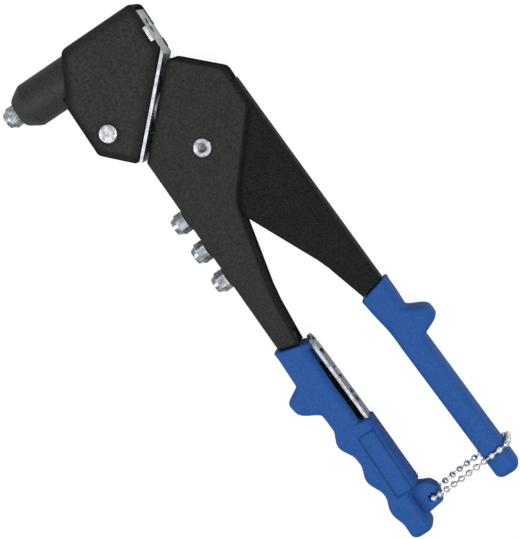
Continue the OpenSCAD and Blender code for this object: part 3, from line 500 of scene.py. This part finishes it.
def buildLeverGrip():
    # two straight edges that widen towards the rim, with a thumb stop on the outer one
    g = leverGrip
    x = gripStations(g)
    low = g["low"] + g["lowSlope"] * (x - g["lowAt"]) - g["flare"] * (1 - ease(x, *g["flareX"]))
    high = (g["high"] + g["highSlope"] * (x - g["highAt"]) + g["swell"] * (1 - ease(x, *g["swellX"]))
            + g["stopHigh"] * broadHump(x, g["stopAt"], g["stopHalf"]))
    shell = gripShell(x, low, high, g)
    leanRim(shell, g)
    piece = newMesh("leverGrip", [(shell, False, True, True)], blueGrip)
    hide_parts("lever_grip")
    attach(piece, "lever")


buildFixedGrip()
buildLeverGrip()
print("grips built")


# Stage, lamps and camera

stage = {"floor": 3.0, "below": 0.0004,  # metres
         "floorTone": "#f4f4f3", "floorRough": 0.9, "shadow": 0.2, "glow": 1.16}


def buildFloor():
    # pale floor just under the tool: white to the camera, with a share of its own shading for the shadow
    mesh = bpy.data.meshes.new("floor")
    half = stage["floor"]
    low = cadBox[0][2] - stage["below"]
    corners = [(-half, -half, low), (half, -half, low), (half, half, low), (-half, half, low)]
    mesh.from_pydata(corners, [], [(0, 1, 2, 3)])
    material, tree, shader, _ = startMaterial("paleFloor")
    shader.inputs["Base Color"].default_value = linear(stage["floorTone"])
    shader.inputs["Roughness"].default_value = stage["floorRough"]
    white = addNode(tree, "ShaderNodeEmission", {"Color": (1, 1, 1, 1), "Strength": stage["glow"]})
    path = addNode(tree, "ShaderNodeLightPath")
    share = addNode(tree, "ShaderNodeMath", {1: 1 - stage["shadow"]}, {0: path.outputs["Is Camera Ray"]},
                    operation="MULTIPLY")
    mix = addNode(tree, "ShaderNodeMixShader", {},
                  {0: share.outputs[0], 1: shader.outputs[0], 2: white.outputs[0]})
    tree.links.new(mix.outputs[0], tree.nodes["Material Output"].inputs["Surface"])
    mesh.materials.append(material)
    floor = bpy.data.objects.new("floor", mesh)
    bpy.context.scene.collection.objects.link(floor)


# the photograph's view, fitted to the tool's outline: focal length and pin in pixels, the tool's turn in
# degrees, and the image's right and up along the turned axes and z
view = {"focal": 2080.0, "size": (520, 539), "sensor": 36.0, "turn": 56.3, "right": (0.99355, 0.0, -0.1134),
        "up": (-0.01672, 0.98907, -0.1465), "pinPixel": (202.0, 148.0), "pinHigh": 10.2, "distance": 0.99}


def buildCamera():
    turn = math.radians(view["turn"])
    axes = np.array([[math.cos(turn), math.sin(turn), 0], [-math.sin(turn), math.cos(turn), 0], [0, 0, 1.0]])
    right = np.array(view["right"]) @ axes
    right /= np.linalg.norm(right)
    up = np.array(view["up"]) @ axes
    up -= right * (up @ right)
    up /= np.linalg.norm(up)
    back = np.cross(right, up)
    pin = (pivotAt + [0, 0, view["pinHigh"]]) * mm
    d = view["distance"]
    wide, high = view["size"]
    x = (view["pinPixel"][0] - wide / 2) / view["focal"] * d
    y = (high / 2 - view["pinPixel"][1]) / view["focal"] * d
    place = pin - x * right - y * up + d * back
    data = bpy.data.cameras.new("camera")
    data.sensor_width = view["sensor"]
    data.lens = view["focal"] / max(wide, high) * view["sensor"]
    camera = bpy.data.objects.new("camera", data)
    rows = np.column_stack([right, up, back, place]).tolist()
    camera.matrix_world = Matrix(rows + [[0, 0, 0, 1]])
    bpy.context.scene.collection.objects.link(camera)
    bpy.context.scene.camera = camera
    return right, up, back


lamps = {
    "key": {"at": (0.25, -0.35, 1.45), "size": 0.7, "power": 8.5},
    "fill": {"at": (-0.95, -0.45, 0.85), "size": 0.6, "power": 7.5},
    "rim": {"at": (1.2, 0.8, 0.5), "size": 0.5, "power": 5.0}}
air = {"tone": (0.9, 0.92, 0.95, 1), "soft": 0.1, "mirrored": 0.8}


def buildLamps(right, up, back):
    aim = Vector(((np.array(cadBox[0]) + np.array(cadBox[1])) / 2).tolist())
    for name, lamp in lamps.items():
        data = bpy.data.lights.new(name, "AREA")
        data.size = lamp["size"]
        data.energy = lamp["power"]
        obj = bpy.data.objects.new(name, data)
        x, y, z = lamp["at"]
        obj.location = aim + Vector((x * right + y * up + z * back).tolist())
        obj.rotation_euler = (aim - obj.location).to_track_quat("-Z", "Y").to_euler()
        bpy.context.scene.collection.objects.link(obj)
    world = bpy.data.worlds.new("studio")
    world.use_nodes = True
    tree = world.node_tree
    ground = tree.nodes["Background"]
    # dim for diffuse light, brighter in mirrors, white to the camera
    path = addNode(tree, "ShaderNodeLightPath")
    level = addNode(tree, "ShaderNodeMapRange", {"To Min": air["soft"], "To Max": air["mirrored"]},
                    {"Value": path.outputs["Is Glossy Ray"]})
    ground.inputs["Color"].default_value = air["tone"]
    tree.links.new(level.outputs["Result"], ground.inputs["Strength"])
    white = addNode(tree, "ShaderNodeBackground", {"Color": (1, 1, 1, 1), "Strength": 1.0})
    mix = addNode(tree, "ShaderNodeMixShader", {},
                  {0: path.outputs["Is Camera Ray"], 1: ground.outputs[0], 2: white.outputs[0]})
    tree.links.new(mix.outputs[0], tree.nodes["World Output"].inputs["Surface"])
    bpy.context.scene.world = world


buildFloor()
viewRight, viewUp, viewBack = buildCamera()
buildLamps(viewRight, viewUp, viewBack)
bpy.context.scene.view_settings.view_transform = "Standard"
print("stage, camera and lamps set")
